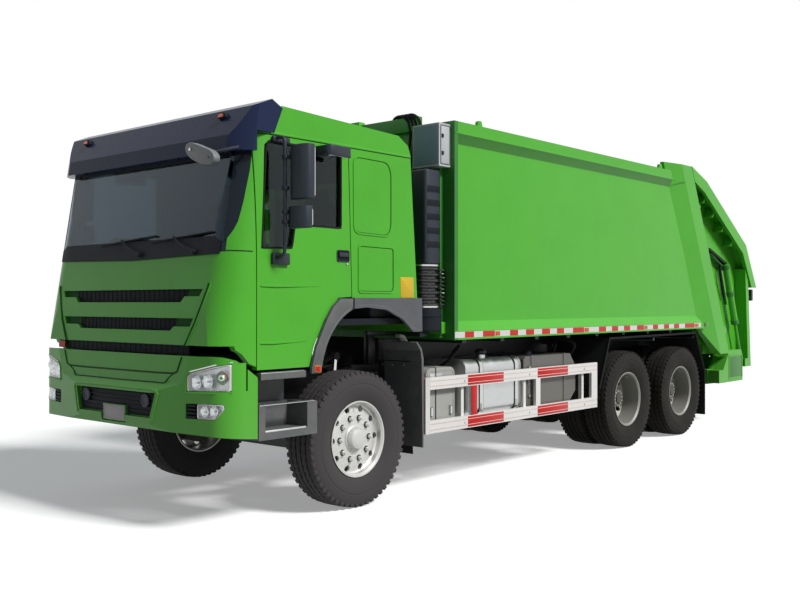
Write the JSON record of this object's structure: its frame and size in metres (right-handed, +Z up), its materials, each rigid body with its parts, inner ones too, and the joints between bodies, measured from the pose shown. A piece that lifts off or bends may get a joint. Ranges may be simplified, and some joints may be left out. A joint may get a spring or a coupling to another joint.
{
  "type": "garbage truck",
  "caption": "Rear-loading compactor truck on a three-axle tilt-cab chassis, with smooth hopper body, raising tailgate, sliding packer and ejector plate.",
  "frame": {"origin": "on the ground, midway between front bumper and tail, on the centre line", "axes": "+X forward, +Y left, +Z up"},
  "size_m": [9.55, 3.06, 3.35],
  "materials": {
    "green_paint": "gloss",
    "dark_green_paint": "satin",
    "chassis_black": "satin",
    "cast_grey": "rough",
    "clear_glass": "polished",
    "grey_plastic": "matt",
    "black_plastic": "matt",
    "tank_aluminium": "satin",
    "white_paint": "satin",
    "box_grey": "satin",
    "rod_chrome": "polished",
    "tyre_rubber": "matt",
    "wheel_steel": "satin"
  },
  "bodies": {
    "chassis": {"frame_rails": "chassis_black", "axles": "chassis_black", "suspension": "chassis_black", "powertrain": "cast_grey", "bumper": "green_paint", "headlamps": "clear_glass", "cab_steps": "grey_plastic", "fuel_tank": "tank_aluminium", "battery_box": "grey_plastic", "hydraulic_tank": "grey_plastic", "silencer": "cast_grey", "side_guards": "white_paint", "rear_mudguards": "black_plastic", "container_floor": "chassis_black", "container_sides": "green_paint", "container_roof": "green_paint", "container_bulkhead": "green_paint", "container_rear_frame": "green_paint", "control_box": "box_grey", "air_intake": "black_plastic"},
    "ejector": {"ejector": "dark_green_paint"},
    "cab": {"cab_floor": "black_plastic", "cab_shell": "green_paint", "cab_roof": "green_paint", "cab_front": "green_paint", "grille": "green_paint", "windscreen": "clear_glass", "visor": "black_plastic", "cab_interior": "black_plastic", "arch_flares": "grey_plastic"},
    "door_left": {"door_panel_left": "green_paint", "door_glass_left": "clear_glass", "door_trim_left": "grey_plastic"},
    "door_right": {"door_panel_right": "green_paint", "door_glass_right": "clear_glass", "door_trim_right": "grey_plastic"},
    "knuckle_left": {"knuckle_left": "chassis_black"},
    "knuckle_right": {"knuckle_right": "chassis_black"},
    "tailgate": {"tailgate_sides": "green_paint", "tailgate_cover": "green_paint", "hopper": "green_paint"},
    "carriage": {"carriage": "green_paint"},
    "packer": {"packer": "dark_green_paint"},
    "lift_barrels": {"lift_barrels": "dark_green_paint"},
    "lift_rods": {"lift_rods": "rod_chrome"},
    "wheel_front_left": {"tyre_front_left": "tyre_rubber", "rim_front_left": "wheel_steel"},
    "wheel_front_right": {"tyre_front_right": "tyre_rubber", "rim_front_right": "wheel_steel"},
    "wheel_rear_1_left": {"tyre_rear_1_left": "tyre_rubber", "rim_rear_1_left": "wheel_steel"},
    "wheel_rear_1_right": {"tyre_rear_1_right": "tyre_rubber", "rim_rear_1_right": "wheel_steel"},
    "wheel_rear_2_left": {"tyre_rear_2_left": "tyre_rubber", "rim_rear_2_left": "wheel_steel"},
    "wheel_rear_2_right": {"tyre_rear_2_right": "tyre_rubber", "rim_rear_2_right": "wheel_steel"}
  },
  "joints": [
    {"name": "cab_tilt", "type": "hinge", "parent": "chassis", "child": "cab", "pos_m": [4.665, 0, 0.88], "axis": [0, 1, 0], "range_deg": [0, 50]},
    {"name": "door_left_hinge", "type": "hinge", "parent": "cab", "child": "door_left", "pos_m": [4.375, 1.208, 1.9], "axis": [0, 0, -1], "range_deg": [0, 70]},
    {"name": "door_right_hinge", "type": "hinge", "parent": "cab", "child": "door_right", "pos_m": [4.375, -1.208, 1.9], "axis": [0, 0, 1], "range_deg": [0, 70]},
    {"name": "steering_left", "type": "hinge", "parent": "chassis", "child": "knuckle_left", "pos_m": [3.275, 0.875, 0.542], "axis": [0, 0, 1], "range_deg": [-35, 35]},
    {"name": "steering_right", "type": "hinge", "parent": "chassis", "child": "knuckle_right", "pos_m": [3.275, -0.875, 0.542], "axis": [0, 0, 1], "range_deg": [-35, 35]},
    {"name": "wheel_front_left_spin", "type": "hinge", "parent": "knuckle_left", "child": "wheel_front_left", "pos_m": [3.275, 0.875, 0.542], "axis": [0, 1, 0], "continuous": true},
    {"name": "wheel_front_right_spin", "type": "hinge", "parent": "knuckle_right", "child": "wheel_front_right", "pos_m": [3.275, -0.875, 0.542], "axis": [0, 1, 0], "continuous": true},
    {"name": "wheel_rear_1_left_spin", "type": "hinge", "parent": "chassis", "child": "wheel_rear_1_left", "pos_m": [-1.05, 0.915, 0.542], "axis": [0, 1, 0], "continuous": true},
    {"name": "wheel_rear_1_right_spin", "type": "hinge", "parent": "chassis", "child": "wheel_rear_1_right", "pos_m": [-1.05, -0.915, 0.542], "axis": [0, 1, 0], "continuous": true},
    {"name": "wheel_rear_2_left_spin", "type": "hinge", "parent": "chassis", "child": "wheel_rear_2_left", "pos_m": [-2.4, 0.915, 0.542], "axis": [0, 1, 0], "continuous": true},
    {"name": "wheel_rear_2_right_spin", "type": "hinge", "parent": "chassis", "child": "wheel_rear_2_right", "pos_m": [-2.4, -0.915, 0.542], "axis": [0, 1, 0], "continuous": true},
    {"name": "ejector_slide", "type": "slide", "parent": "chassis", "child": "ejector", "axis": [-1, 0, 0], "range_m": [0, 3.9]},
    {"name": "tailgate_hinge", "type": "hinge", "parent": "chassis", "child": "tailgate", "pos_m": [-2.525, 0, 3.3], "axis": [0, 1, 0], "range_deg": [0, 85]},
    {"name": "carriage_slide", "type": "slide", "parent": "tailgate", "child": "carriage", "axis": [-0.3759, 0, -0.9267], "range_m": [0, 0.5]},
    {"name": "packer_hinge", "type": "hinge", "parent": "carriage", "child": "packer", "pos_m": [-3.845, 0, 1.597], "axis": [0, 1, 0], "range_deg": [0, 85]},
    {"name": "lift_barrel_hinge", "type": "hinge", "parent": "tailgate", "child": "lift_barrels", "pos_m": [-2.975, 0, 2.85], "axis": [0, 1, 0], "range_deg": [-95.4, 0]},
    {"name": "lift_rod_slide", "type": "slide", "parent": "lift_barrels", "child": "lift_rods", "axis": [-0.4517, 0, -0.8922], "range_m": [0, 0.804]}
  ],
  "couplings": [
    {"joint": "steering_right", "follows": "steering_left", "ratio": 1},
    {"joint": "lift_barrel_hinge", "follows": "tailgate_hinge", "ratio": -1.1107},
    {"joint": "lift_rod_slide", "follows": "tailgate_hinge", "m_per_rad": 0.5286}
  ]
}
